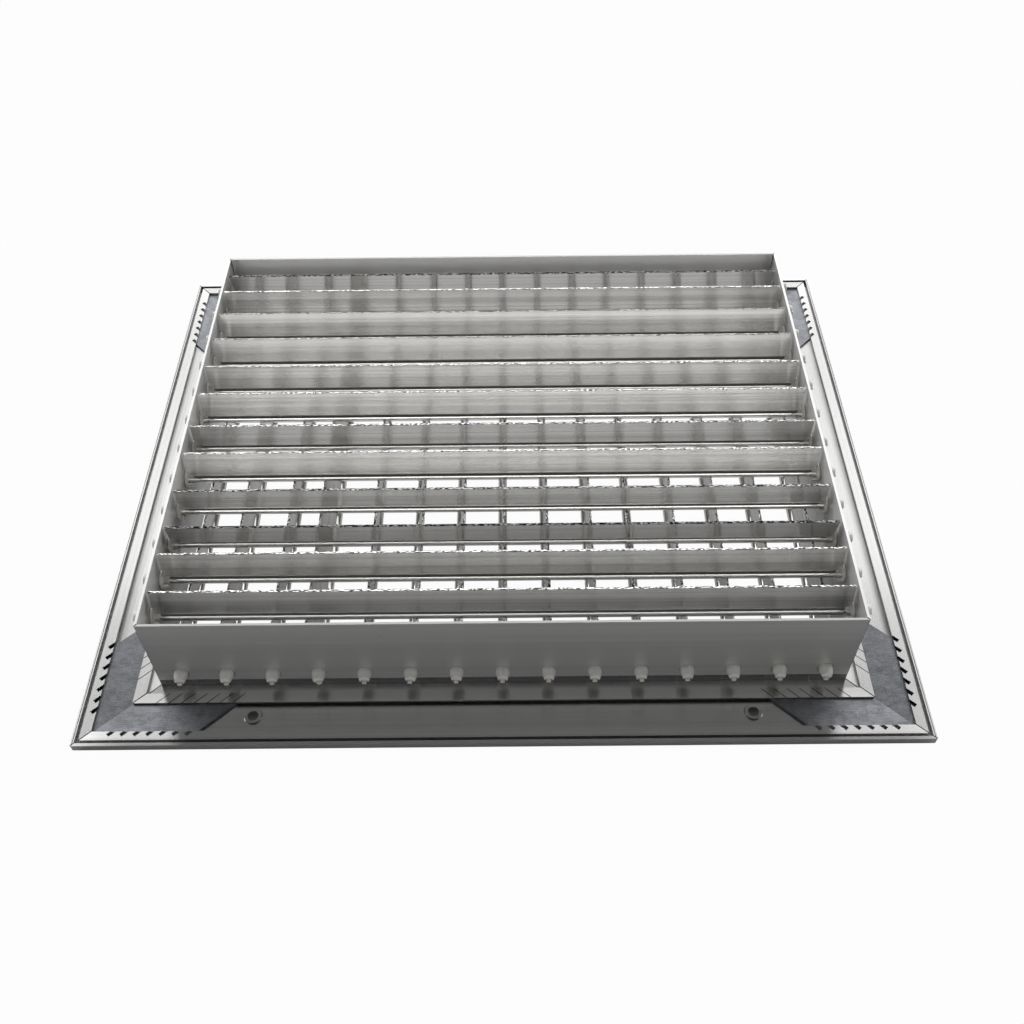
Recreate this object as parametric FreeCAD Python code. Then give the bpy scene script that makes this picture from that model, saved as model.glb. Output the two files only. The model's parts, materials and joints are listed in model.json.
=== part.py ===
import FreeCAD, Part
from itertools import cycle
import math
import os

# Double-deflection supply air grille, lying on its face as it is stored.
# Millimetres. +Z points from the face towards the duct, X runs along the long side.
# The origin is the middle of the face plane.

# Neck, the collar that enters the duct
neck_length = 302.2
neck_depth = 246.4
neck_height = 47.6
neck_wall = 1.1

# Saw-cut joint between two rails
mitre_gap = 0.45

# Flange and its hooked channel, measured outwards from the neck's outer face
flange_width = 31.7
skin = 1.3
face_flat = 6.0
face_rise = 1.8
foot_height = 2.3
inner_lip_start = 5.2
inner_lip_width = 5.0
outer_lip_width = 4.3
groove_width = 1.5
lip_web = 1.2
lip_thickness = 1.0
lip_height = 3.6
rim_wall = 1.4
rim_height = 5.5

# Corner keys of sheet steel under the lips
key_side_play = 0.2
key_lip_play = 0.1
key_reach = 52.0

# Crimp teeth that pin the lips to the keys: a slit along a diagonal, and on the outer lip a ramp beside it
crimp_count = 7
crimp_pitch = 5.55
crimp_from_corner_long = 17.9
crimp_from_corner_short = 19.5
crimp_reach = 2.6
crimp_slit = 0.5
crimp_depth = 0.8
crimp_ramp = 1.5
score_width = 0.35
score_depth = 0.5

# Fixing holes with a pressed countersink
screw_from_end = 74.8
screw_from_neck = 16.4
screw_radius = 2.35
screw_head_radius = 4.0
dimple_rise = 1.0
dimple_root = 0.65
dimple_base_radius = 4.4
dimple_top_radius = 3.6

# Blades: one extrusion with a hollow round nose and a thin tail
blade_pitch = 20.0
blade_chord = 14.4
nose_radius = 2.1
port_radius = 1.3
web_at_nose = 1.3
web_at_tail = 1.0
front_pivot_height = 11.9
rear_pivot_height = 33.1
rear_pivot_from_back = 10.1
pivot_room = 9.9

# Where each blade was left, in degrees: a rear blade's tail leans to the back, a front blade's to the right
rear_tilts = [-15, 10, 20, 18, 12, 13, 2, 12, -3, -9, 12, 10]
front_tilts = [3, -8, 0, -23, 2, 12, 9, 4, 4, 5, -7, 0, 1, 2, 9]

# Nylon bushes
bush_clearance = 0.07
bush_end_play = 0.1
barrel_radius = 3.0
rear_head_length = 6.5
front_head_length = 4.4
head_taper = 2.8
head_tip_radius = 2.2
notch_width = 3.0
notch_depth = 1.5
notch_top = 0.5
tongue_width = 1.9
tongue_thickness = 1.1
tongue_gap = 0.4
tongue_reach = 0.8
plate_thickness = 1.0
plate_radius = 4.2
pin_side = 1.75
pin_length = 7.0
cradle_gap = 0.3
cradle_top = 1.0
cradle_length = 2.4

# Values that follow from the sizes above
channel_start = inner_lip_start + inner_lip_width
rim_inside = flange_width - rim_wall
outer_lip_end = rim_inside - groove_width
outer_lip_start = outer_lip_end - outer_lip_width
face_slope = face_rise / (flange_width - face_flat)
channel_inner_wall = inner_lip_start + lip_web
channel_outer_wall = outer_lip_end - lip_web
key_thickness = lip_height - lip_thickness - skin - key_lip_play
inner_length = neck_length - 2 * neck_wall
inner_depth = neck_depth - 2 * neck_wall
blade_end_gap = bush_end_play + plate_thickness
cut_over = 1.0
slit_depth = lip_thickness + key_lip_play / 2


def vec(x, y, z=0.0):
    return FreeCAD.Vector(x, y, z)


def face_line(u):
    """Height of the face at a distance u outwards from the neck."""
    if u <= face_flat:
        return 0.0
    return (u - face_flat) * face_slope


def floor_line(u):
    return face_line(u) + skin


def lip_line(u):
    return face_line(u) + lip_height


def rail_outline():
    """The extrusion's section as points (u outwards, height)."""
    return [
        (-neck_wall, 0.0),
        (face_flat, 0.0),
        (flange_width, face_rise),
        (flange_width, rim_height),
        (rim_inside, rim_height),
        (rim_inside, floor_line(rim_inside)),
        (outer_lip_end, floor_line(outer_lip_end)),
        (outer_lip_end, lip_line(outer_lip_end)),
        (outer_lip_start, lip_line(outer_lip_start)),
        (outer_lip_start, lip_line(outer_lip_start) - lip_thickness),
        (channel_outer_wall, lip_line(channel_outer_wall) - lip_thickness),
        (channel_outer_wall, floor_line(channel_outer_wall)),
        (channel_inner_wall, floor_line(channel_inner_wall)),
        (channel_inner_wall, lip_line(channel_inner_wall) - lip_thickness),
        (channel_start, lip_line(channel_start) - lip_thickness),
        (channel_start, lip_line(channel_start)),
        (inner_lip_start, lip_line(inner_lip_start)),
        (inner_lip_start, foot_height),
        (0.0, foot_height),
        (0.0, neck_height),
        (-neck_wall, neck_height),
    ]


def prism(points, direction):
    """A solid swept from a closed polygon."""
    wire = Part.makePolygon(points + [points[0]])
    return Part.Face(wire).extrude(direction)


def section_bar(outline, half_depth, half_length):
    """A bar along X with the given (u, height) section, outward towards -Y."""
    points = [vec(-half_length, -(half_depth + u), h) for u, h in outline]
    return prism(points, vec(2 * half_length, 0, 0))


def plan_prism(points):
    """A prism over the whole height of the grille, from points in plan."""
    base = [vec(x, y, -cut_over) for x, y in points]
    return prism(base, vec(0, 0, neck_height + 2 * cut_over))


def diagonal_tool(profile, edge_point, toward_corner, into_web, reach):
    """A cutter that runs along a diagonal from a lip's free edge.

    The profile's points are (distance towards the corner, height above the lip).
    into_web is +1 on the outer lip, which is cut outwards, and -1 on the inner one.
    """
    diagonal = vec(into_web * toward_corner, -into_web, into_web * face_slope)
    across = vec(toward_corner, 1, 0).normalize()
    start = edge_point - diagonal * cut_over
    points = [start + across * offset + vec(0, 0, height) for offset, height in profile]
    return prism(points, diagonal * (reach + cut_over))


def crimp_tools(half_length, half_depth, from_corner):
    """The teeth of the outer lip and the scored lines of the inner one, at both ends of one rail."""
    ramp_over = crimp_ramp * cut_over / crimp_depth
    tooth = [
        (0, cut_over),
        (0, -slit_depth),
        (crimp_slit, -slit_depth),
        (crimp_slit, -crimp_depth),
        (crimp_slit + crimp_ramp + ramp_over, cut_over),
    ]
    score = [(0, cut_over), (0, -score_depth), (score_width, -score_depth), (score_width, cut_over)]
    between_lips = outer_lip_start - channel_start
    tools = []
    for toward_corner in (-1, 1):
        for n in range(crimp_count):
            outer_x = half_length + flange_width - from_corner - n * crimp_pitch
            inner_x = outer_x - between_lips
            outer = vec(toward_corner * outer_x, -(half_depth + outer_lip_start), lip_line(outer_lip_start))
            inner = vec(toward_corner * inner_x, -(half_depth + channel_start), lip_line(channel_start))
            tools.append(diagonal_tool(tooth, outer, toward_corner, 1, crimp_reach))
            tools.append(diagonal_tool(score, inner, toward_corner, -1, inner_lip_width + cut_over))
    return tools


def rail(length, depth, crimp_from_corner):
    """A mitred rail on the front side, for a neck that is length along X and depth along Y."""
    half_length = length / 2
    half_depth = depth / 2
    bar = section_bar(rail_outline(), half_depth, half_length + flange_width + cut_over)
    inside = -neck_wall - cut_over
    outside = flange_width + cut_over
    half_gap = mitre_gap / math.sqrt(2)
    mitres = plan_prism([
        (-(half_length + inside - half_gap), -(half_depth + inside)),
        (half_length + inside - half_gap, -(half_depth + inside)),
        (half_length + outside - half_gap, -(half_depth + outside)),
        (-(half_length + outside - half_gap), -(half_depth + outside)),
    ])
    solid = bar.common(mitres)
    return solid.cut(Part.Compound(crimp_tools(half_length, half_depth, crimp_from_corner)))


def turned(shape, degrees):
    """A copy turned about the grille's upright middle line."""
    copy = shape.copy()
    copy.rotate(vec(0, 0), vec(0, 0, 1), degrees)
    return copy


def cylinder_along(direction, radius, start, length):
    return Part.makeCylinder(radius, length, start, direction)


def bush_holes_along_x():
    """Holes in the left and right walls for the rear blades' bushes."""
    radius = barrel_radius + bush_clearance
    span = neck_length + 2 * cut_over
    return [
        cylinder_along(vec(1, 0), radius, vec(-span / 2, y, rear_pivot_height), span)
        for y in rear_blade_places()
    ]


def bush_holes_along_y():
    """Holes in the front and back walls for the front blades' bushes."""
    radius = barrel_radius + bush_clearance
    span = neck_depth + 2 * cut_over
    return [
        cylinder_along(vec(0, 1), radius, vec(x, -span / 2, front_pivot_height), span)
        for x in front_blade_places()
    ]


def screw_places():
    x = neck_length / 2 + flange_width - screw_from_end
    y = neck_depth / 2 + screw_from_neck
    return [vec(side * x, way * y) for side in (-1, 1) for way in (-1, 1)]


def with_screw_holes(solid, places):
    """Adds the pressed dimple round each hole, then drills and countersinks it from the face."""
    floor = floor_line(screw_from_neck)
    face = face_line(screw_from_neck)
    for place in places:
        base = place + vec(0, 0, floor - dimple_root)
        dimple = Part.makeCone(dimple_base_radius, dimple_top_radius, dimple_root + dimple_rise, base)
        solid = solid.fuse(dimple)
    for place in places:
        hole = cylinder_along(vec(0, 0, 1), screw_radius, place - vec(0, 0, cut_over), neck_height)
        sink_depth = skin + dimple_rise - dimple_root
        slope = (screw_head_radius - screw_radius) / sink_depth
        wide = screw_head_radius + slope * (face + cut_over)
        sink = Part.makeCone(wide, screw_radius, sink_depth + face + cut_over, place - vec(0, 0, cut_over))
        solid = solid.cut(hole.fuse(sink))
    return solid.removeSplitter()


def frame_rails():
    """The four rails with their bush holes and fixing holes."""
    long_rail = rail(neck_length, neck_depth, crimp_from_corner_long)
    short_rail = rail(neck_depth, neck_length, crimp_from_corner_short)
    holes_x = Part.Compound(bush_holes_along_x())
    holes_y = Part.Compound(bush_holes_along_y())
    front_screws = [p for p in screw_places() if p.y < 0]
    back_screws = [p for p in screw_places() if p.y > 0]
    return {
        "frame_rail_front": with_screw_holes(long_rail.cut(holes_y), front_screws),
        "frame_rail_back": with_screw_holes(turned(long_rail, 180).cut(holes_y), back_screws),
        "frame_rail_left": turned(short_rail, -90).cut(holes_x),
        "frame_rail_right": turned(short_rail, 90).cut(holes_x),
    }


def key_arm(length, depth, toward_corner):
    """One arm of a corner key in the front channel, mitred at the corner and cut at 45 degrees."""
    half_length = length / 2
    half_depth = depth / 2
    u_in = channel_inner_wall + key_side_play
    u_out = channel_outer_wall - key_side_play
    outline = [
        (u_in, floor_line(u_in)),
        (u_out, floor_line(u_out)),
        (u_out, floor_line(u_out) + key_thickness),
        (u_in, floor_line(u_in) + key_thickness),
    ]
    bar = section_bar(outline, half_depth, half_length + flange_width)
    corner_x = half_length + flange_width
    plan = []
    for u, at_mitre in ((u_out, True), (u_out, False), (u_in, False), (u_in, True)):
        from_corner = flange_width - u if at_mitre else key_reach + outer_lip_start - u
        plan.append((toward_corner * (corner_x - from_corner), -(half_depth + u)))
    return bar.common(plan_prism(plan))


def corner_keys():
    """Four L-shaped keys, each of two arms folded to the channel floors."""
    keys = []
    for turns in range(4):
        along = neck_length if turns % 2 == 0 else neck_depth
        across = neck_depth if turns % 2 == 0 else neck_length
        arm = turned(key_arm(along, across, 1), 90 * turns)
        other = turned(key_arm(across, along, -1), 90 * turns + 90)
        keys.append(arm.fuse(other).removeSplitter())
    return Part.Compound(keys)


def rear_blade_places():
    """Y of each rear pivot, counted from the back wall."""
    count = 1 + math.floor((inner_depth - rear_pivot_from_back - pivot_room) / blade_pitch)
    first = inner_depth / 2 - rear_pivot_from_back
    return [first - n * blade_pitch for n in range(count)]


def front_blade_places():
    """X of each front pivot, from the left, with equal room at both walls."""
    count = 1 + math.floor((inner_length - 2 * pivot_room) / blade_pitch)
    first = -(count - 1) * blade_pitch / 2
    return [first + n * blade_pitch for n in range(count)]


def blade(length):
    """A blade along X with its pivot on the X axis and its tail up."""
    half_web = web_at_nose / 2
    half_tail = web_at_tail / 2
    shoulder = math.sqrt(nose_radius ** 2 - half_web ** 2)
    start = -length / 2
    left = vec(start, -half_web, shoulder)
    right = vec(start, half_web, shoulder)
    tail_left = vec(start, -half_tail, blade_chord)
    tail_right = vec(start, half_tail, blade_chord)
    outline = Part.Wire([
        Part.Arc(left, vec(start, 0, -nose_radius), right).toShape(),
        Part.makeLine(right, tail_right),
        Part.makeLine(tail_right, tail_left),
        Part.makeLine(tail_left, left),
    ])
    port = Part.Wire(Part.makeCircle(port_radius, vec(start, 0, 0), vec(1, 0, 0)))
    return Part.Face([outline, port]).extrude(vec(length, 0, 0))


def snap_head(start, length):
    """The bush's end outside the wall: a barrel that tapers, with a springy tongue in a notch at its foot."""
    end = start + length
    straight = cylinder_along(vec(1, 0), barrel_radius, vec(start, 0), length - head_taper)
    taper = Part.makeCone(barrel_radius, head_tip_radius, head_taper, vec(end - head_taper, 0), vec(1, 0))
    notch_start = end - notch_depth
    notch = Part.makeBox(
        notch_depth + cut_over, notch_width, barrel_radius,
        vec(notch_start, -notch_width / 2, -notch_top - barrel_radius),
    )
    tongue = Part.makeBox(
        cut_over + notch_depth + tongue_reach, tongue_width, tongue_thickness,
        vec(notch_start - cut_over, -tongue_width / 2, -notch_top - tongue_gap - tongue_thickness),
    )
    return straight.fuse(taper).cut(notch).fuse(tongue)


def cradle(end):
    """The crescent under the blade's nose, on the inner side of the bush's plate."""
    start = vec(end - cradle_length, 0)
    ring = cylinder_along(vec(1, 0), plate_radius, start, cradle_length)
    ring = ring.cut(cylinder_along(vec(1, 0), nose_radius + cradle_gap, start, cradle_length))
    span = 2 * plate_radius
    lower = Part.makeBox(cradle_length, span, span, start - vec(0, plate_radius, cradle_top + span))
    return ring.common(lower)


def bush(wall_inside, head_length):
    """A bush on the +X end of a blade: pin, cradle, plate, barrel and snap head."""
    plate_start = wall_inside - bush_end_play - plate_thickness
    plate = cylinder_along(vec(1, 0), plate_radius, vec(plate_start, 0), plate_thickness)
    half_pin = pin_side / 2
    pin = Part.makeBox(pin_length, pin_side, pin_side, vec(plate_start - pin_length, -half_pin, -half_pin))
    barrel_start = plate_start + plate_thickness
    wall_outside = wall_inside + neck_wall
    barrel = cylinder_along(vec(1, 0), barrel_radius, vec(barrel_start, 0), wall_outside - barrel_start)
    head = snap_head(wall_outside, head_length)
    return plate.fuse([pin, cradle(plate_start), barrel, head]).removeSplitter()


def bush_pair(wall_inside, head_length):
    """The two bushes of one blade, as separate solids."""
    one = bush(wall_inside, head_length)
    return Part.Compound([one, turned(one, 180)])


def rear_placed(shape, y, tilt):
    copy = shape.copy()
    copy.rotate(vec(0, 0), vec(1, 0), -tilt)
    copy.translate(vec(0, y, rear_pivot_height))
    return copy


def front_placed(shape, x, tilt):
    copy = turned(shape, 90)
    copy.rotate(vec(0, 0), vec(0, 1), tilt)
    copy.translate(vec(x, 0, front_pivot_height))
    return copy


def blades_and_bushes():
    nodes = {}
    rear_blade = blade(inner_length - 2 * blade_end_gap)
    rear_bushes = bush_pair(inner_length / 2, rear_head_length)
    for n, (y, tilt) in enumerate(zip(rear_blade_places(), cycle(rear_tilts)), start=1):
        nodes[f"rear_blade_{n:02d}"] = rear_placed(rear_blade, y, tilt)
        nodes[f"rear_bushes_{n:02d}"] = rear_placed(rear_bushes, y, tilt)
    front_blade = blade(inner_depth - 2 * blade_end_gap)
    front_bushes = bush_pair(inner_depth / 2, front_head_length)
    for n, (x, tilt) in enumerate(zip(front_blade_places(), cycle(front_tilts)), start=1):
        nodes[f"front_blade_{n:02d}"] = front_placed(front_blade, x, tilt)
        nodes[f"front_bushes_{n:02d}"] = front_placed(front_bushes, x, tilt)
    return nodes


def main():
    os.makedirs("parts", exist_ok=True)
    nodes = frame_rails()
    nodes["corner_keys"] = corner_keys()
    nodes.update(blades_and_bushes())
    for name, shape in nodes.items():
        shape.exportStep(f"parts/{name}.step")
    print("nodes", len(nodes), "solids", sum(len(s.Solids) for s in nodes.values()))


main()
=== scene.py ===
import bpy
import json
import math
from mathutils import Matrix, Vector


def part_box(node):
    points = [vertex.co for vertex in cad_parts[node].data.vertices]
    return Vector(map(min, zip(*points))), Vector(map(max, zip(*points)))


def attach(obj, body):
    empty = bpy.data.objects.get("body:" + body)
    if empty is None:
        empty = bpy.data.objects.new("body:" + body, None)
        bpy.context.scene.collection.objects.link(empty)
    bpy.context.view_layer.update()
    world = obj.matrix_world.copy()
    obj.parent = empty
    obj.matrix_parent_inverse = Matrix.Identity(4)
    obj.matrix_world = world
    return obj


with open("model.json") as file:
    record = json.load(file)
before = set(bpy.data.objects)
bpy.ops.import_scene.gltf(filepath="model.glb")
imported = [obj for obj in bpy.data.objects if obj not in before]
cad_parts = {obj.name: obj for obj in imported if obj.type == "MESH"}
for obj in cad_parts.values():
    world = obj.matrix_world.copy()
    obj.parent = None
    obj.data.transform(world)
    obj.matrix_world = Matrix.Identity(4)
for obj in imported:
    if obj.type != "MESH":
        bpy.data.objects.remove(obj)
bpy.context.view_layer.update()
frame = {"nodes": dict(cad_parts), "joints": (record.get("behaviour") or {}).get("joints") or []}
nodes = frame["nodes"]
mm = 0.001
print("frame loaded:", len(nodes), "nodes")


def hexColour(code):
    # sRGB hex to the linear values that sockets take
    channels = [int(code[i:i + 2], 16) / 255 for i in (1, 3, 5)]
    linear = [c / 12.92 if c <= 0.04045 else ((c + 0.055) / 1.055) ** 2.4 for c in channels]
    return (*linear, 1.0)


def addNode(tree, kind, settings=None, inputs=None):
    # one node with its properties, its values and its links
    node = tree.nodes.new(kind)
    for name, value in (settings or {}).items():
        setattr(node, name, value)
    for name, value in (inputs or {}).items():
        if isinstance(value, bpy.types.NodeSocket):
            tree.links.new(value, node.inputs[name])
        else:
            node.inputs[name].default_value = value
    return node


def newMaterial(name):
    material = bpy.data.materials.new(name)
    material.use_nodes = True
    material.node_tree.nodes.clear()
    return material, material.node_tree


def setMaterial(node, material):
    node.data.materials.clear()
    node.data.materials.append(material)


def floatCurve(tree, value, stops):
    # a curve of straight lines through the stops
    curve = addNode(tree, "ShaderNodeFloatCurve", inputs={"Value": value})
    line = curve.mapping.curves[0]
    line.points[0].location = stops[0]
    line.points[1].location = stops[-1]
    for place, height in stops[1:-1]:
        line.points.new(place, height)
    for point in line.points:
        point.handle_type = "VECTOR"
    curve.mapping.update()
    return curve.outputs["Value"]


# every extrusion starts from these values, which are those of the front and back rails
extrusion = {
    "colour": "#C6C6C5",         # clean mill finish
    "streakColour": "#BEBEBD",   # duller lanes where the die dragged
    "stainColour": "#8E8F91",    # a few handling marks
    "roughness": 0.18,
    "roughnessSpread": 0.02,
    "anisotropy": 1.0,           # the die lines spread light across themselves and keep it sharp along them
    "dieLineMm": 1.0,            # real lines are finer, this is as fine as the render can show
    "laneMm": 4.0,
    "lineStretch": 0.0012,       # draws the pattern out into lines that run the bar's whole length
    "lineRange": (0.45, 0.65),   # the part of each noise that shows
    "laneRange": (0.35, 0.7),
    "lineDarkness": 0.04,
    "lineBump": 0.02,
    "lineDepthMm": 0.1,
    "markMm": 14,
    "markRange": (0.66, 0.8),
    "markStrength": 0.35,
    # painted shade in corners and grooves: its reach, where it starts, its strength and its colour
    "cornerMm": 1.6,
    "cornerRange": (0.3, 0.72),
    "cornerPaintedShade": 0.85,
    "paintedShadeColour": "#3A3A3B",
    "wallFromMm": 6.5,           # from this height up a rail is its thin wall
    "wallRoughness": 0.32,       # the wall draws out duller than the thick flange
    "shearedFromMm": 125,        # outwards from here the slanted faces are the crimp teeth
    "shearedSlant": 0.04,        # how far a face turns to the diagonal to count as slanted
    "toothShadeColour": "#565657",  # painted shade: the slots beside the teeth lie in shade
    "rimLineMm": 0.0,            # width of the painted shade line along the rim's top edge, none at 0
    "rimLineAtMm": 182.05,
    "rimTopFromMm": 5.0,
    "noses": None,               # on blades: the first nose's place, its height, the pitch and a radius, in mm
}

# the side rails look a little duller, and their rim's painted shade line shows
sideRail = dict(
    extrusion,
    roughness=0.28,
    rimLineMm=0.3,
)

# the rear blades are painted brighter than the rails, as painted light, and their die lines show more
rearBlade = dict(
    extrusion,
    colour="#F3F2F0",
    streakColour="#E1E0DE",
    roughness=0.24,
    # little painted shade in the blades' corners
    cornerPaintedShade=0.1,
    lineDarkness=0.14,
    noseRoughness=0.1,
    noses=(12.0, 33.1, 20.0, 2.15),
)

# the front blades lie deeper, in more shade, and are painted duller, as painted shade
frontBlade = dict(
    rearBlade,
    colour="#D8D7D5",
    streakColour="#C8C7C5",
    noses=(0.0, 11.9, 20.0, 2.15),
)


def noseMask(tree, split, axis, values):
    # 1 on the round noses of the blades, which repeat at the pitch
    start, height, pitch, radius = (v * mm for v in values["noses"])
    across = split.outputs["Y" if axis == "X" else "X"]
    moved = addNode(tree, "ShaderNodeMath", {"operation": "SUBTRACT"}, {0: across, 1: start})
    aside = addNode(tree, "ShaderNodeMath", {"operation": "PINGPONG"}, {0: moved.outputs["Value"], 1: pitch / 2})
    above = addNode(tree, "ShaderNodeMath", {"operation": "SUBTRACT"}, {0: split.outputs["Z"], 1: height})
    place = addNode(tree, "ShaderNodeCombineXYZ", inputs={"X": aside.outputs["Value"], "Y": above.outputs["Value"]})
    away = addNode(tree, "ShaderNodeVectorMath", {"operation": "LENGTH"}, {0: place.outputs["Vector"]})
    near = addNode(tree, "ShaderNodeMath", {"operation": "LESS_THAN"}, {0: away.outputs["Value"], 1: radius})
    return near.outputs["Value"]


def bothMasks(tree, first, second):
    both = addNode(tree, "ShaderNodeMath", {"operation": "MULTIPLY"}, {
        0: first.outputs["Value"], 1: second.outputs["Value"]})
    return both.outputs["Value"]


def railMarks(tree, coord, split, base, values):
    # painted shade on the crimp teeth and along the rim's top edge, laid over a rail's colour
    facing = addNode(tree, "ShaderNodeSeparateXYZ", inputs={"Vector": coord.outputs["Normal"]})
    diagonal = addNode(tree, "ShaderNodeMath", {"operation": "MULTIPLY"}, {
        0: facing.outputs["X"], 1: facing.outputs["Y"]})
    slanted = addNode(tree, "ShaderNodeMath", {"operation": "ABSOLUTE"}, {0: diagonal.outputs["Value"]})
    aside = addNode(tree, "ShaderNodeMath", {"operation": "ABSOLUTE"}, {0: split.outputs["X"]})
    beyond = addNode(tree, "ShaderNodeMath", {"operation": "GREATER_THAN"}, {
        0: aside.outputs["Value"], 1: values["shearedFromMm"] * mm})
    tooth = addNode(tree, "ShaderNodeMath", {"operation": "GREATER_THAN"}, {
        0: slanted.outputs["Value"], 1: values["shearedSlant"]})
    # painted shade on the slanted faces of the crimp teeth
    toothed = addNode(tree, "ShaderNodeMix", {"data_type": "RGBA"}, {
        "Factor": bothMasks(tree, beyond, tooth), "A": base, "B": hexColour(values["toothShadeColour"])})
    # a painted shade line along the rim's top edge
    onLine = addNode(tree, "ShaderNodeMath", {"operation": "COMPARE"}, {
        0: aside.outputs["Value"], 1: values["rimLineAtMm"] * mm, 2: values["rimLineMm"] / 2 * mm})
    onTop = addNode(tree, "ShaderNodeMath", {"operation": "GREATER_THAN"}, {
        0: split.outputs["Z"], 1: values["rimTopFromMm"] * mm})
    lined = addNode(tree, "ShaderNodeMix", {"data_type": "RGBA"}, {
        "Factor": bothMasks(tree, onLine, onTop), "A": toothed.outputs["Result"], "B": hexColour(values["paintedShadeColour"])})
    return lined.outputs["Result"]


def extrudedAluminium(name, axis, values):
    # mill-finish 6063 aluminium pressed through a die: satin, with long fine lines along the bar
    material, tree = newMaterial(name)
    coord = addNode(tree, "ShaderNodeTexCoord")
    split = addNode(tree, "ShaderNodeSeparateXYZ", inputs={"Vector": coord.outputs["Object"]})
    stretch = values["lineStretch"]
    mapping = addNode(tree, "ShaderNodeMapping", inputs={
        "Vector": coord.outputs["Object"], "Scale": (stretch, 1, 1) if axis == "X" else (1, stretch, 1)})
    lines = addNode(tree, "ShaderNodeTexNoise", inputs={
        "Vector": mapping.outputs["Vector"], "Scale": 1 / (values["dieLineMm"] * mm), "Detail": 1.0, "Roughness": 0.6})
    lanes = addNode(tree, "ShaderNodeTexNoise", inputs={
        "Vector": mapping.outputs["Vector"], "Scale": 1 / (values["laneMm"] * mm), "Detail": 1.0})
    laneMix = addNode(tree, "ShaderNodeMapRange", inputs={
        "Value": lanes.outputs["Fac"], "From Min": values["laneRange"][0], "From Max": values["laneRange"][1]})
    colour = addNode(tree, "ShaderNodeMix", {"data_type": "RGBA"}, {
        "Factor": laneMix.outputs["Result"], "A": hexColour(values["colour"]), "B": hexColour(values["streakColour"])})
    lineShade = addNode(tree, "ShaderNodeMapRange", inputs={
        "Value": lines.outputs["Fac"], "From Min": values["lineRange"][0], "From Max": values["lineRange"][1],
        "To Max": values["lineDarkness"]})
    lined = addNode(tree, "ShaderNodeMix", {"data_type": "RGBA"}, {
        "Factor": lineShade.outputs["Result"], "A": colour.outputs["Result"], "B": (0, 0, 0, 1)})
    marks = addNode(tree, "ShaderNodeTexNoise", inputs={
        "Vector": coord.outputs["Object"], "Scale": 1 / (values["markMm"] * mm), "Detail": 4.0, "Roughness": 0.75})
    markMix = addNode(tree, "ShaderNodeMapRange", inputs={
        "Value": marks.outputs["Fac"], "From Min": values["markRange"][0], "From Max": values["markRange"][1],
        "To Max": values["markStrength"]})
    stained = addNode(tree, "ShaderNodeMix", {"data_type": "RGBA"}, {
        "Factor": markMix.outputs["Result"], "A": lined.outputs["Result"], "B": hexColour(values["stainColour"])})
    # painted shade in the corners and grooves, darker where little light reaches
    corner = addNode(tree, "ShaderNodeAmbientOcclusion", {"samples": 4}, {"Distance": values["cornerMm"] * mm})
    cornerMix = addNode(tree, "ShaderNodeMapRange", inputs={
        "Value": corner.outputs["AO"], "From Min": values["cornerRange"][0], "From Max": values["cornerRange"][1],
        "To Min": values["cornerPaintedShade"], "To Max": 0.0})
    cornerShaded = addNode(tree, "ShaderNodeMix", {"data_type": "RGBA"}, {
        "Factor": cornerMix.outputs["Result"], "A": stained.outputs["Result"], "B": hexColour(values["paintedShadeColour"])})
    rough = addNode(tree, "ShaderNodeMapRange", inputs={
        "Value": lines.outputs["Fac"], "From Min": 0.3, "From Max": 0.7,
        "To Min": values["roughness"] - values["roughnessSpread"],
        "To Max": values["roughness"] + values["roughnessSpread"]})
    if values["noses"]:
        # the nose runs against the die's polished land and comes out brighter
        base = cornerShaded.outputs["Result"]
        part, partRoughness = noseMask(tree, split, axis, values), values["noseRoughness"]
    else:
        base = railMarks(tree, coord, split, cornerShaded.outputs["Result"], values)
        wall = addNode(tree, "ShaderNodeMath", {"operation": "GREATER_THAN"}, {
            0: split.outputs["Z"], 1: values["wallFromMm"] * mm})
        part, partRoughness = wall.outputs["Value"], values["wallRoughness"]
    roughness = addNode(tree, "ShaderNodeMix", {"data_type": "FLOAT"}, {
        "Factor": part, "A": rough.outputs["Result"], "B": partRoughness})
    bump = addNode(tree, "ShaderNodeBump", inputs={
        "Height": lines.outputs["Fac"], "Strength": values["lineBump"], "Distance": values["lineDepthMm"] * mm})
    tangent = addNode(tree, "ShaderNodeTangent", {"direction_type": "RADIAL", "axis": axis})
    shader = addNode(tree, "ShaderNodeBsdfPrincipled", inputs={
        "Base Color": base, "Metallic": 1.0, "Roughness": roughness.outputs[0],
        "Anisotropic": values["anisotropy"], "Tangent": tangent.outputs["Tangent"], "Normal": bump.outputs["Normal"]})
    addNode(tree, "ShaderNodeOutputMaterial", inputs={"Surface": shader.outputs["BSDF"]})
    return material


cornerKey = {
    "light": "#86888C",
    "dark": "#585A5D",
    "spangleMm": 2.6,
    "spangleSoftness": 0.6,
    "spangleShare": 0.25,
    "grainMm": 0.5,
    "brushMm": 0.35,
    "brushDeg": 38,           # the way the rolling marks run
    "brushStretch": 0.06,
    "brushShare": 0.7,
    "toneRange": (0.65, 1.3),
    "roughness": (0.35, 0.48),
    "bump": 0.15,
    "bumpDepthMm": 0.1,
}


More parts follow.
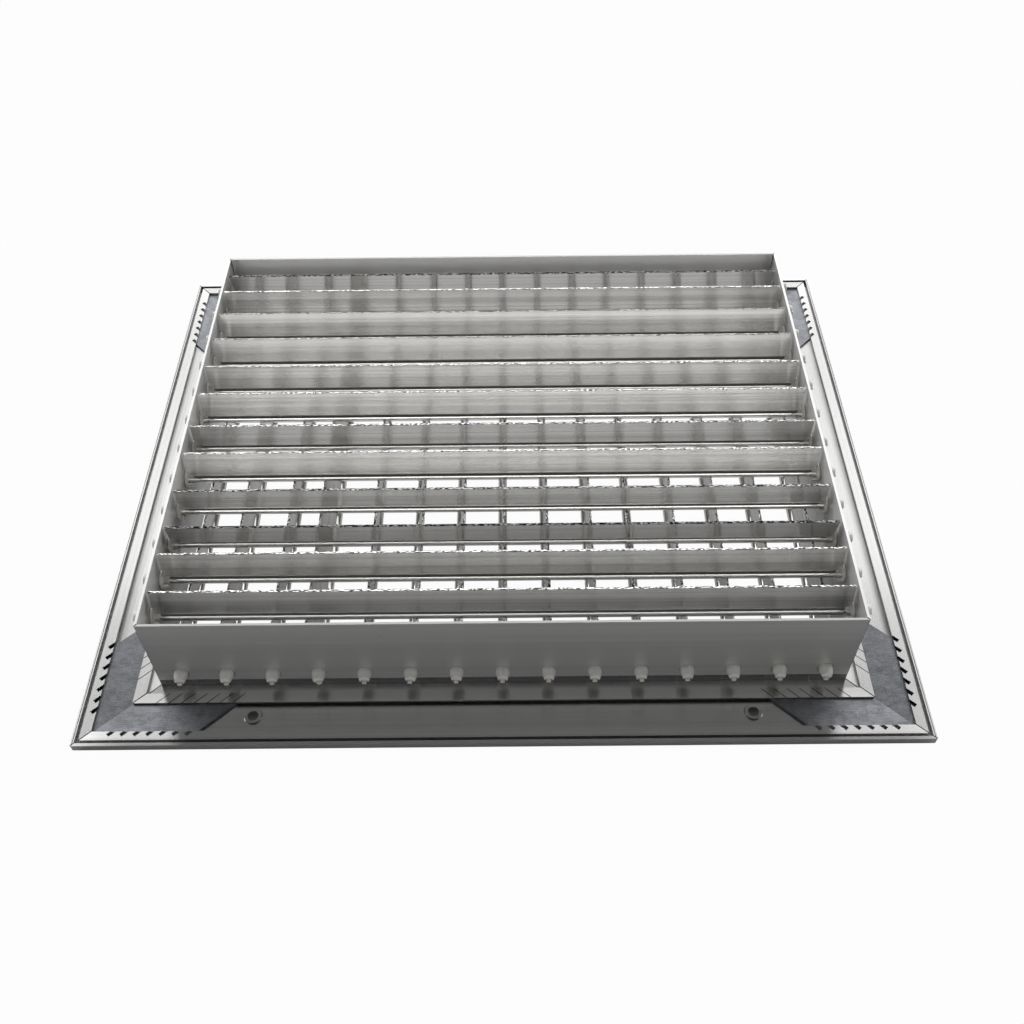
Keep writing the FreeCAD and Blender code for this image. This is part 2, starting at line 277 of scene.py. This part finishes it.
def galvanisedSteel(values):
    # electro-galvanised steel sheet, grey and faintly mottled, with rolling marks
    material, tree = newMaterial("galvanisedSteel")
    coord = addNode(tree, "ShaderNodeTexCoord")
    spangle = addNode(tree, "ShaderNodeTexVoronoi", {"feature": "SMOOTH_F1"}, {
        "Vector": coord.outputs["Object"], "Scale": 1 / (values["spangleMm"] * mm),
        "Smoothness": values["spangleSoftness"]})
    grain = addNode(tree, "ShaderNodeTexNoise", inputs={
        "Vector": coord.outputs["Object"], "Scale": 1 / (values["grainMm"] * mm), "Detail": 3.0})
    stretch = addNode(tree, "ShaderNodeMapping", inputs={
        "Vector": coord.outputs["Object"], "Rotation": (0, 0, math.radians(values["brushDeg"])),
        "Scale": (values["brushStretch"], 1, 1)})
    brush = addNode(tree, "ShaderNodeTexNoise", inputs={
        "Vector": stretch.outputs["Vector"], "Scale": 1 / (values["brushMm"] * mm), "Detail": 2.0})
    flakeTone = addNode(tree, "ShaderNodeSeparateColor", inputs={"Color": spangle.outputs["Color"]})
    flake = addNode(tree, "ShaderNodeMath", {"operation": "MULTIPLY_ADD"}, {
        0: flakeTone.outputs["Red"], 1: values["spangleShare"], 2: grain.outputs["Fac"]})
    tone = addNode(tree, "ShaderNodeMath", {"operation": "MULTIPLY_ADD"}, {
        0: brush.outputs["Fac"], 1: values["brushShare"], 2: flake.outputs["Value"]})
    toneMix = addNode(tree, "ShaderNodeMapRange", inputs={
        "Value": tone.outputs["Value"], "From Min": values["toneRange"][0], "From Max": values["toneRange"][1]})
    colour = addNode(tree, "ShaderNodeMix", {"data_type": "RGBA"}, {
        "Factor": toneMix.outputs["Result"], "A": hexColour(values["dark"]), "B": hexColour(values["light"])})
    bump = addNode(tree, "ShaderNodeBump", inputs={
        "Height": tone.outputs["Value"], "Strength": values["bump"], "Distance": values["bumpDepthMm"] * mm})
    rough = addNode(tree, "ShaderNodeMapRange", inputs={
        "Value": flakeTone.outputs["Green"], "To Min": values["roughness"][0], "To Max": values["roughness"][1]})
    shader = addNode(tree, "ShaderNodeBsdfPrincipled", inputs={
        "Base Color": colour.outputs["Result"], "Metallic": 1.0, "Roughness": rough.outputs["Result"],
        "Normal": bump.outputs["Normal"]})
    addNode(tree, "ShaderNodeOutputMaterial", inputs={"Surface": shader.outputs["BSDF"]})
    return material


bush = {
    "colour": "#EAE8E3",
    "shade": "#D9D7D1",
    "cloudMm": 3.0,
    "roughness": 0.42,
    "ior": 1.53,
    "glow": 0.12,                   # light carries a little way into the plastic
    "glowMm": 1.0,
    "glowTint": (1.0, 0.95, 0.9),
    "bump": 0.2,
    "bumpDepthMm": 0.15,
}


def naturalNylon(values):
    # injection-moulded natural nylon 6: milky white, slightly see-through at its edges
    material, tree = newMaterial("naturalNylon")
    coord = addNode(tree, "ShaderNodeTexCoord")
    cloud = addNode(tree, "ShaderNodeTexNoise", inputs={
        "Vector": coord.outputs["Object"], "Scale": 1 / (values["cloudMm"] * mm), "Detail": 3.0})
    colour = addNode(tree, "ShaderNodeMix", {"data_type": "RGBA"}, {
        "Factor": cloud.outputs["Fac"], "A": hexColour(values["colour"]), "B": hexColour(values["shade"])})
    bump = addNode(tree, "ShaderNodeBump", inputs={
        "Height": cloud.outputs["Fac"], "Strength": values["bump"], "Distance": values["bumpDepthMm"] * mm})
    shader = addNode(tree, "ShaderNodeBsdfPrincipled", inputs={
        "Base Color": colour.outputs["Result"], "Roughness": values["roughness"], "IOR": values["ior"],
        "Subsurface Weight": values["glow"], "Subsurface Radius": values["glowTint"],
        "Subsurface Scale": values["glowMm"] * mm, "Normal": bump.outputs["Normal"]})
    addNode(tree, "ShaderNodeOutputMaterial", inputs={"Surface": shader.outputs["BSDF"]})
    return material


# the longest of these that a node's name starts with gives its material, and what is left are the bushes
finishes = {
    "frame_rail_front": extrudedAluminium("millAluminiumAlongX", "X", extrusion),
    "frame_rail_left": extrudedAluminium("millAluminiumAlongY", "Y", sideRail),
    "rear_blade": extrudedAluminium("bladeAluminiumAlongX", "X", rearBlade),
    "front_blade": extrudedAluminium("bladeAluminiumAlongY", "Y", frontBlade),
    "corner_keys": galvanisedSteel(cornerKey),
    "": naturalNylon(bush),
}
finishes["frame_rail_back"] = finishes["frame_rail_front"]
finishes["frame_rail_right"] = finishes["frame_rail_left"]
for name, node in nodes.items():
    start = max((s for s in finishes if name.startswith(s)), key=len)
    setMaterial(node, finishes[start])
print("materials assigned")

# the skin that the shear tore over along the blades' tails
tornEdge = {
    "bright": "#E6E6E5",
    # painted shade for the shadowed edge under the tail's top
    "dark": "#202020",
    "dashMm": 1.3,             # length of the bright and dark dashes
    "finelyMm": 0.4,           # and their width
    "tearRange": (0.5, 0.6),
    # painted shade where the skin hangs below the front edge
    "hangingPaintedShade": -0.5,
    "hangMm": 0.55,            # how far the torn skin hangs over the face at most
    "leastHangMm": 0.1,
    "skinMm": 0.03,
    "stepMm": 0.35,
    "tailShare": 0.99,         # points further from the pivot than this share of the farthest are the tail's end
    "roughness": 0.32,
    "bump": 0.5,
    "bumpDepthMm": 0.1,
    "seed": 4,
}


def tornEdgeShaded(name, axis, values):
    # aluminium torn by the shear: bright metal dashes between dark dashes of painted shade, with more painted shade
    # where the skin hangs over the front edge
    material, tree = newMaterial(name)
    coord = addNode(tree, "ShaderNodeTexCoord")
    along = values["finelyMm"] / values["dashMm"]
    scale = (along, 1, 1) if axis == "X" else (1, along, 1)
    mapping = addNode(tree, "ShaderNodeMapping", inputs={"Vector": coord.outputs["Object"], "Scale": scale})
    dashes = addNode(tree, "ShaderNodeTexNoise", inputs={
        "Vector": mapping.outputs["Vector"], "Scale": 1 / (values["finelyMm"] * mm), "Detail": 1.0})
    hanging = addNode(tree, "ShaderNodeAttribute", {"attribute_name": "hanging"})
    # painted shade deepened on the row that hangs below the front edge
    lowered = addNode(tree, "ShaderNodeMath", {"operation": "MULTIPLY_ADD"}, {
        0: hanging.outputs["Fac"], 1: values["hangingPaintedShade"], 2: dashes.outputs["Fac"]})
    dashShade = addNode(tree, "ShaderNodeMapRange", inputs={
        "Value": lowered.outputs["Value"], "From Min": values["tearRange"][0], "From Max": values["tearRange"][1]})
    colour = addNode(tree, "ShaderNodeMix", {"data_type": "RGBA"}, {
        "Factor": dashShade.outputs["Result"], "A": hexColour(values["dark"]), "B": hexColour(values["bright"])})
    bump = addNode(tree, "ShaderNodeBump", inputs={
        "Height": dashes.outputs["Fac"], "Strength": values["bump"], "Distance": values["bumpDepthMm"] * mm})
    shader = addNode(tree, "ShaderNodeBsdfPrincipled", inputs={
        "Base Color": colour.outputs["Result"], "Metallic": 1.0, "Roughness": values["roughness"],
        "Normal": bump.outputs["Normal"]})
    addNode(tree, "ShaderNodeOutputMaterial", inputs={"Surface": shader.outputs["BSDF"]})
    return material


def tornStripTree():
    # a thin skin over the tail's end that hangs raggedly over its front edge
    # X runs along the blade, Z out of the tail
    tree = bpy.data.node_groups.new("tornStrip", "GeometryNodeTree")
    tree.interface.new_socket("Geometry", in_out="OUTPUT", socket_type="NodeSocketGeometry")
    kinds = {
        "Length": "NodeSocketFloat", "Width": "NodeSocketFloat", "Least Hang": "NodeSocketFloat",
        "Most Hang": "NodeSocketFloat", "Skin": "NodeSocketFloat", "Wave": "NodeSocketFloat",
        "Steps": "NodeSocketInt", "Seed": "NodeSocketFloat", "Material": "NodeSocketMaterial",
    }
    for label, kind in kinds.items():
        tree.interface.new_socket(label, in_out="INPUT", socket_type=kind)
    given = addNode(tree, "NodeGroupInput").outputs
    grid = addNode(tree, "GeometryNodeMeshGrid", inputs={
        "Size X": given["Length"], "Size Y": 2.0, "Vertices X": given["Steps"], "Vertices Y": 3})
    place = addNode(tree, "GeometryNodeInputPosition")
    split = addNode(tree, "ShaderNodeSeparateXYZ", inputs={"Vector": place.outputs["Position"]})
    lineOnly = addNode(tree, "ShaderNodeCombineXYZ", inputs={"X": split.outputs["X"]})
    noise = addNode(tree, "ShaderNodeTexNoise", {"noise_dimensions": "4D"}, {
        "Vector": lineOnly.outputs["Vector"], "W": given["Seed"], "Scale": given["Wave"], "Detail": 2.0})
    hang = addNode(tree, "ShaderNodeMapRange", inputs={
        "Value": noise.outputs["Fac"], "From Min": 0.42, "From Max": 0.72,
        "To Min": given["Least Hang"], "To Max": given["Most Hang"]})
    # row -1 lies on the back edge, row 0 on the front edge, row 1 hangs below it
    ahead = addNode(tree, "ShaderNodeMath", {"operation": "GREATER_THAN"}, {0: split.outputs["Y"], 1: -0.5})
    below = addNode(tree, "ShaderNodeMath", {"operation": "GREATER_THAN"}, {0: split.outputs["Y"], 1: 0.5})
    half = addNode(tree, "ShaderNodeMath", {"operation": "DIVIDE"}, {0: given["Width"], 1: 2.0})
    backEdge = addNode(tree, "ShaderNodeMath", {"operation": "MULTIPLY"}, {0: half.outputs["Value"], 1: -1.0})
    frontEdge = addNode(tree, "ShaderNodeMath", {"operation": "ADD"}, {0: half.outputs["Value"], 1: given["Skin"]})
    across = addNode(tree, "ShaderNodeMix", {"data_type": "FLOAT"}, {
        "Factor": ahead.outputs["Value"], "A": backEdge.outputs["Value"], "B": frontEdge.outputs["Value"]})
    drop = addNode(tree, "ShaderNodeMath", {"operation": "MULTIPLY"}, {
        0: below.outputs["Value"], 1: hang.outputs["Result"]})
    height = addNode(tree, "ShaderNodeMath", {"operation": "SUBTRACT"}, {0: given["Skin"], 1: drop.outputs["Value"]})
    target = addNode(tree, "ShaderNodeCombineXYZ", inputs={
        "X": split.outputs["X"], "Y": across.outputs[0], "Z": height.outputs["Value"]})
    moved = addNode(tree, "GeometryNodeSetPosition", inputs={
        "Geometry": grid.outputs["Mesh"], "Position": target.outputs["Vector"]})
    marked = addNode(tree, "GeometryNodeStoreNamedAttribute", {"data_type": "FLOAT", "domain": "POINT"}, {
        "Geometry": moved.outputs["Geometry"], "Name": "hanging", "Value": below.outputs["Value"]})
    real = addNode(tree, "GeometryNodeRealizeInstances", inputs={"Geometry": marked.outputs["Geometry"]})
    painted = addNode(tree, "GeometryNodeSetMaterial", inputs={
        "Geometry": real.outputs["Geometry"], "Material": given["Material"]})
    addNode(tree, "NodeGroupOutput", inputs={"Geometry": painted.outputs["Geometry"]})
    return tree


def meshFromTree(name, tree, values):
    # runs the tree once on an empty mesh and keeps the result as a plain mesh
    holder = bpy.data.objects.new(name + "_maker", bpy.data.meshes.new(name + "_start"))
    bpy.context.scene.collection.objects.link(holder)
    modifier = holder.modifiers.new("maker", "NODES")
    modifier.node_group = tree
    sockets = {s.name: s.identifier for s in tree.interface.items_tree if s.in_out == "INPUT"}
    for label, value in values.items():
        modifier[sockets[label]] = value
    graph = bpy.context.evaluated_depsgraph_get()
    mesh = bpy.data.meshes.new_from_object(holder.evaluated_get(graph))
    holder.modifiers.clear()
    bpy.data.objects.remove(holder)
    mesh.name = name
    obj = bpy.data.objects.new(name, mesh)
    bpy.context.scene.collection.objects.link(obj)
    return obj


def tailEnd(node, pivot, alongX, share):
    # the tail's end: its middle, its direction from the pivot, its width and the blade's length
    points = [v.co - pivot for v in node.data.vertices]
    flat = [Vector((0, p.y, p.z)) if alongX else Vector((p.x, 0, p.z)) for p in points]
    reach = max(p.length for p in flat)
    tail = [p for p in flat if p.length > share * reach]
    middle = sum(tail, Vector()) / len(tail)
    width = 2 * max((p - middle).length for p in tail)
    low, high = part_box(node.name)
    length = high[0] - low[0] if alongX else high[1] - low[1]
    return pivot + middle, middle.normalized(), width, length


tornAcross = tornEdgeShaded("tornEdgeShadedAlongX", "X", tornEdge)
tornDeep = tornEdgeShaded("tornEdgeShadedAlongY", "Y", tornEdge)
stripTree = tornStripTree()
for index, joint in enumerate(frame["joints"]):
    blade = joint["child"]
    alongX = blade.startswith("rear")
    middle, tip, width, length = tailEnd(nodes[blade], Vector(joint["pos_m"]), alongX, tornEdge["tailShare"])
    piece = meshFromTree(blade + "_torn_edge", stripTree, {
        "Length": length, "Width": width, "Least Hang": tornEdge["leastHangMm"] * mm,
        "Most Hang": tornEdge["hangMm"] * mm, "Skin": tornEdge["skinMm"] * mm,
        "Wave": 1 / (tornEdge["dashMm"] * mm), "Steps": round(length / (tornEdge["stepMm"] * mm)),
        "Seed": float(tornEdge["seed"] + index), "Material": tornAcross if alongX else tornDeep})
    bar = Vector((-1, 0, 0)) if alongX else Vector((0, 1, 0))
    side = tip.cross(bar)
    turn = Matrix((bar, side, tip)).transposed().to_4x4()
    piece.data.transform(Matrix.Translation(middle) @ turn)
    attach(piece, blade)
print("torn edges made")

floor = {
    "size": 8.0,
    "colour": "#A8A8A8",
    "toCamera": 0.97,        # how much of a clean white board the camera sees
    "toMetalAround": 0.02,   # how much the metal sees of it outside
    # and under the grille, by place in mm from the front wall's shade to the back wall's: a painted light that the
    # metal sees, with painted shade near both walls
    "paintedLightUnder": [
        (-125, 0.19), (-72, 0.19), (-45, 0.45), (10, 0.45), (35, 0.8), (76, 0.8), (88, 0.28), (125, 0.28)],
    "underMm": (151, 123),   # half the neck's opening
    "flangeMm": (180, 152),  # the strip between the two lies in the dark under the flange
    "edgeMm": 2.0,
}


def paleFloor(values):
    # matt pale board that keeps the grille's shadow
    material, tree = newMaterial("paleBoard")
    path = addNode(tree, "ShaderNodeLightPath")
    coord = addNode(tree, "ShaderNodeTexCoord")
    split = addNode(tree, "ShaderNodeSeparateXYZ", inputs={"Vector": coord.outputs["Object"]})

    def insideBox(reaches):
        # 1 inside a rectangle round the origin, falling to 0 over a soft edge
        sides = []
        for axis, reach in zip("XY", reaches):
            away = addNode(tree, "ShaderNodeMath", {"operation": "ABSOLUTE"}, {0: split.outputs[axis]})
            sides.append(addNode(tree, "ShaderNodeMapRange", inputs={
                "Value": away.outputs["Value"], "From Min": reach * mm, "From Max": (reach + values["edgeMm"]) * mm,
                "To Min": 1.0, "To Max": 0.0}))
        return addNode(tree, "ShaderNodeMath", {"operation": "MULTIPLY"}, {
            0: sides[0].outputs["Result"], 1: sides[1].outputs["Result"]})

    under = insideBox(values["underMm"])
    covered = insideBox(values["flangeMm"])
    hidden = addNode(tree, "ShaderNodeMath", {"operation": "SUBTRACT"}, {
        0: covered.outputs["Value"], 1: under.outputs["Value"]})
    cameraShare = addNode(tree, "ShaderNodeMapRange", inputs={
        "Value": hidden.outputs["Value"], "To Min": values["toCamera"], "To Max": 0.0})

    front, back = values["paintedLightUnder"][0][0], values["paintedLightUnder"][-1][0]
    along = addNode(tree, "ShaderNodeMapRange", inputs={
        "Value": split.outputs["Y"], "From Min": front * mm, "From Max": back * mm})
    # painted light under the grille that the metal sees, with painted shade near the walls
    glow = floatCurve(tree, along.outputs["Result"], [
        ((place - front) / (back - front), share) for place, share in values["paintedLightUnder"]])
    metalShare = addNode(tree, "ShaderNodeMapRange", inputs={
        "Value": under.outputs["Value"], "To Min": values["toMetalAround"], "To Max": glow})
    byCamera = addNode(tree, "ShaderNodeMath", {"operation": "MULTIPLY"}, {
        0: path.outputs["Is Camera Ray"], 1: cameraShare.outputs["Result"]})
    through = addNode(tree, "ShaderNodeMath", {"operation": "MAXIMUM"}, {
        0: path.outputs["Is Glossy Ray"], 1: path.outputs["Is Transmission Ray"]})
    byMetal = addNode(tree, "ShaderNodeMath", {"operation": "MULTIPLY"}, {
        0: through.outputs["Value"], 1: metalShare.outputs["Result"]})
    share = addNode(tree, "ShaderNodeMath", {"operation": "MAXIMUM"}, {
        0: byCamera.outputs["Value"], 1: byMetal.outputs["Value"]})
    board = addNode(tree, "ShaderNodeBsdfDiffuse", inputs={"Color": hexColour(values["colour"])})
    white = addNode(tree, "ShaderNodeEmission", inputs={"Color": (1, 1, 1, 1), "Strength": 1.0})
    mix = addNode(tree, "ShaderNodeMixShader", inputs={
        "Fac": share.outputs["Value"], 1: board.outputs["BSDF"], 2: white.outputs["Emission"]})
    addNode(tree, "ShaderNodeOutputMaterial", inputs={"Surface": mix.outputs["Shader"]})
    return material


half = floor["size"] / 2
floorMesh = bpy.data.meshes.new("floor")
floorMesh.from_pydata([(-half, -half, 0), (half, -half, 0), (half, half, 0), (-half, half, 0)], [], [(0, 1, 2, 3)])
floorObject = bpy.data.objects.new("floor", floorMesh)
bpy.context.scene.collection.objects.link(floorObject)
setMaterial(floorObject, paleFloor(floor))

light = {
    # strength of the sky by angle in degrees: 0 is the horizon behind the grille, 90 overhead, 180 the camera's side
    "sky": [
        (0, 1.5), (10, 2.5), (18, 4.5), (34, 4.5), (38, 2.0), (43, 0.8), (46, 0.7), (53, 0.7), (58, 0.3), (64, 0.1),
        (72, 0.05), (118, 0.04), (130, 0.05), (145, 0.12), (152, 0.4), (157, 2.1), (167, 2.1), (173, 0.8), (180, 0.4)],
    # and the same to the left and right
    "sides": [
        (0, 1.5), (34, 1.7), (42, 3.0), (58, 3.0), (68, 1.5), (84, 1.2), (96, 0.15), (138, 0.1), (150, 0.5),
        (180, 0.5)],
    "sidesFrom": (0.34, 0.4),   # how far left or right a direction points where the sides begin
    "strongest": 5.0,           # the curves' full height
    "topPower": 1.5,
    "topPlace": (0.0, 0.83, 0.96),
    "topAim": (0.0, 0.0, 0.02),
    "topSize": (1.6, 0.4),
}


def softLight(name, power, place, aim, size):
    data = bpy.data.lights.new(name, "AREA")
    data.shape = "RECTANGLE"
    data.size, data.size_y = size
    data.energy = power
    lamp = bpy.data.objects.new(name, data)
    lamp.location = place
    lamp.rotation_euler = (Vector(aim) - Vector(place)).to_track_quat("-Z", "Y").to_euler()
    bpy.context.scene.collection.objects.link(lamp)


def studioSky(values):
    # a long softbox low behind the grille, one on each side, a dark ceiling, and a dimmer one behind the camera
    world = bpy.data.worlds.new("studio")
    world.use_nodes = True
    tree = world.node_tree
    tree.nodes.clear()
    coord = addNode(tree, "ShaderNodeTexCoord")
    split = addNode(tree, "ShaderNodeSeparateXYZ", inputs={"Vector": coord.outputs["Generated"]})
    angle = addNode(tree, "ShaderNodeMath", {"operation": "ARCTAN2"}, {0: split.outputs["Z"], 1: split.outputs["Y"]})
    turn = addNode(tree, "ShaderNodeMapRange", inputs={"Value": angle.outputs["Value"], "From Max": math.pi})

    def strengthCurve(stops):
        return floatCurve(tree, turn.outputs["Result"], [
            (degrees / 180, power / values["strongest"]) for degrees, power in stops])

    aside = addNode(tree, "ShaderNodeMath", {"operation": "ABSOLUTE"}, {0: split.outputs["X"]})
    beside = addNode(tree, "ShaderNodeMapRange", inputs={
        "Value": aside.outputs["Value"], "From Min": values["sidesFrom"][0], "From Max": values["sidesFrom"][1]})
    curve = addNode(tree, "ShaderNodeMix", {"data_type": "FLOAT"}, {
        "Factor": beside.outputs["Result"], "A": strengthCurve(values["sky"]), "B": strengthCurve(values["sides"])})
    path = addNode(tree, "ShaderNodeLightPath")
    strength = addNode(tree, "ShaderNodeMath", {"operation": "MULTIPLY"}, {
        0: curve.outputs[0], 1: values["strongest"]})
    shown = addNode(tree, "ShaderNodeMix", {"data_type": "FLOAT"}, {
        "Factor": path.outputs["Is Camera Ray"], "A": strength.outputs["Value"], "B": 1.0})
    sky = addNode(tree, "ShaderNodeBackground", inputs={"Color": (1, 1, 1, 1), "Strength": shown.outputs[0]})
    addNode(tree, "ShaderNodeOutputWorld", inputs={"Surface": sky.outputs["Background"]})
    bpy.context.scene.world = world


studioSky(light)
softLight("topSoftbox", light["topPower"], light["topPlace"], light["topAim"], light["topSize"])

camera = {
    "focalPx": 1090.7,      # on a frame of 1024 px
    "framePx": 1024,
    "middlePx": (510.4, 532.2),
    "downDeg": 50.50,
    "aroundDeg": -0.40,
    "rollDeg": -0.85,
    "placeMm": (6.0, -378.5, 415.8),
    "sensorMm": 36,
    "nearestMm": 10,
}


def addCamera(values):
    down, around, roll = (math.radians(values[k]) for k in ("downDeg", "aroundDeg", "rollDeg"))
    forward = Vector((math.sin(around) * math.cos(down), math.cos(around) * math.cos(down), -math.sin(down)))
    right = Vector((math.cos(around), -math.sin(around), 0))
    up = right.cross(forward)
    turnedRight = right * math.cos(roll) + up * math.sin(roll)
    turnedUp = up * math.cos(roll) - right * math.sin(roll)
    data = bpy.data.cameras.new("camera")
    data.sensor_width = values["sensorMm"]
    data.lens = values["focalPx"] / values["framePx"] * data.sensor_width
    data.shift_x = 0.5 - values["middlePx"][0] / values["framePx"]
    data.shift_y = values["middlePx"][1] / values["framePx"] - 0.5
    data.clip_start = values["nearestMm"] * mm
    obj = bpy.data.objects.new("camera", data)
    turn = Matrix((turnedRight, turnedUp, -forward)).transposed().to_4x4()
    obj.matrix_world = Matrix.Translation(Vector(values["placeMm"]) * mm) @ turn
    bpy.context.scene.collection.objects.link(obj)
    bpy.context.scene.camera = obj


addCamera(camera)
bpy.context.scene.view_settings.view_transform = "Standard"
print("camera and light set")
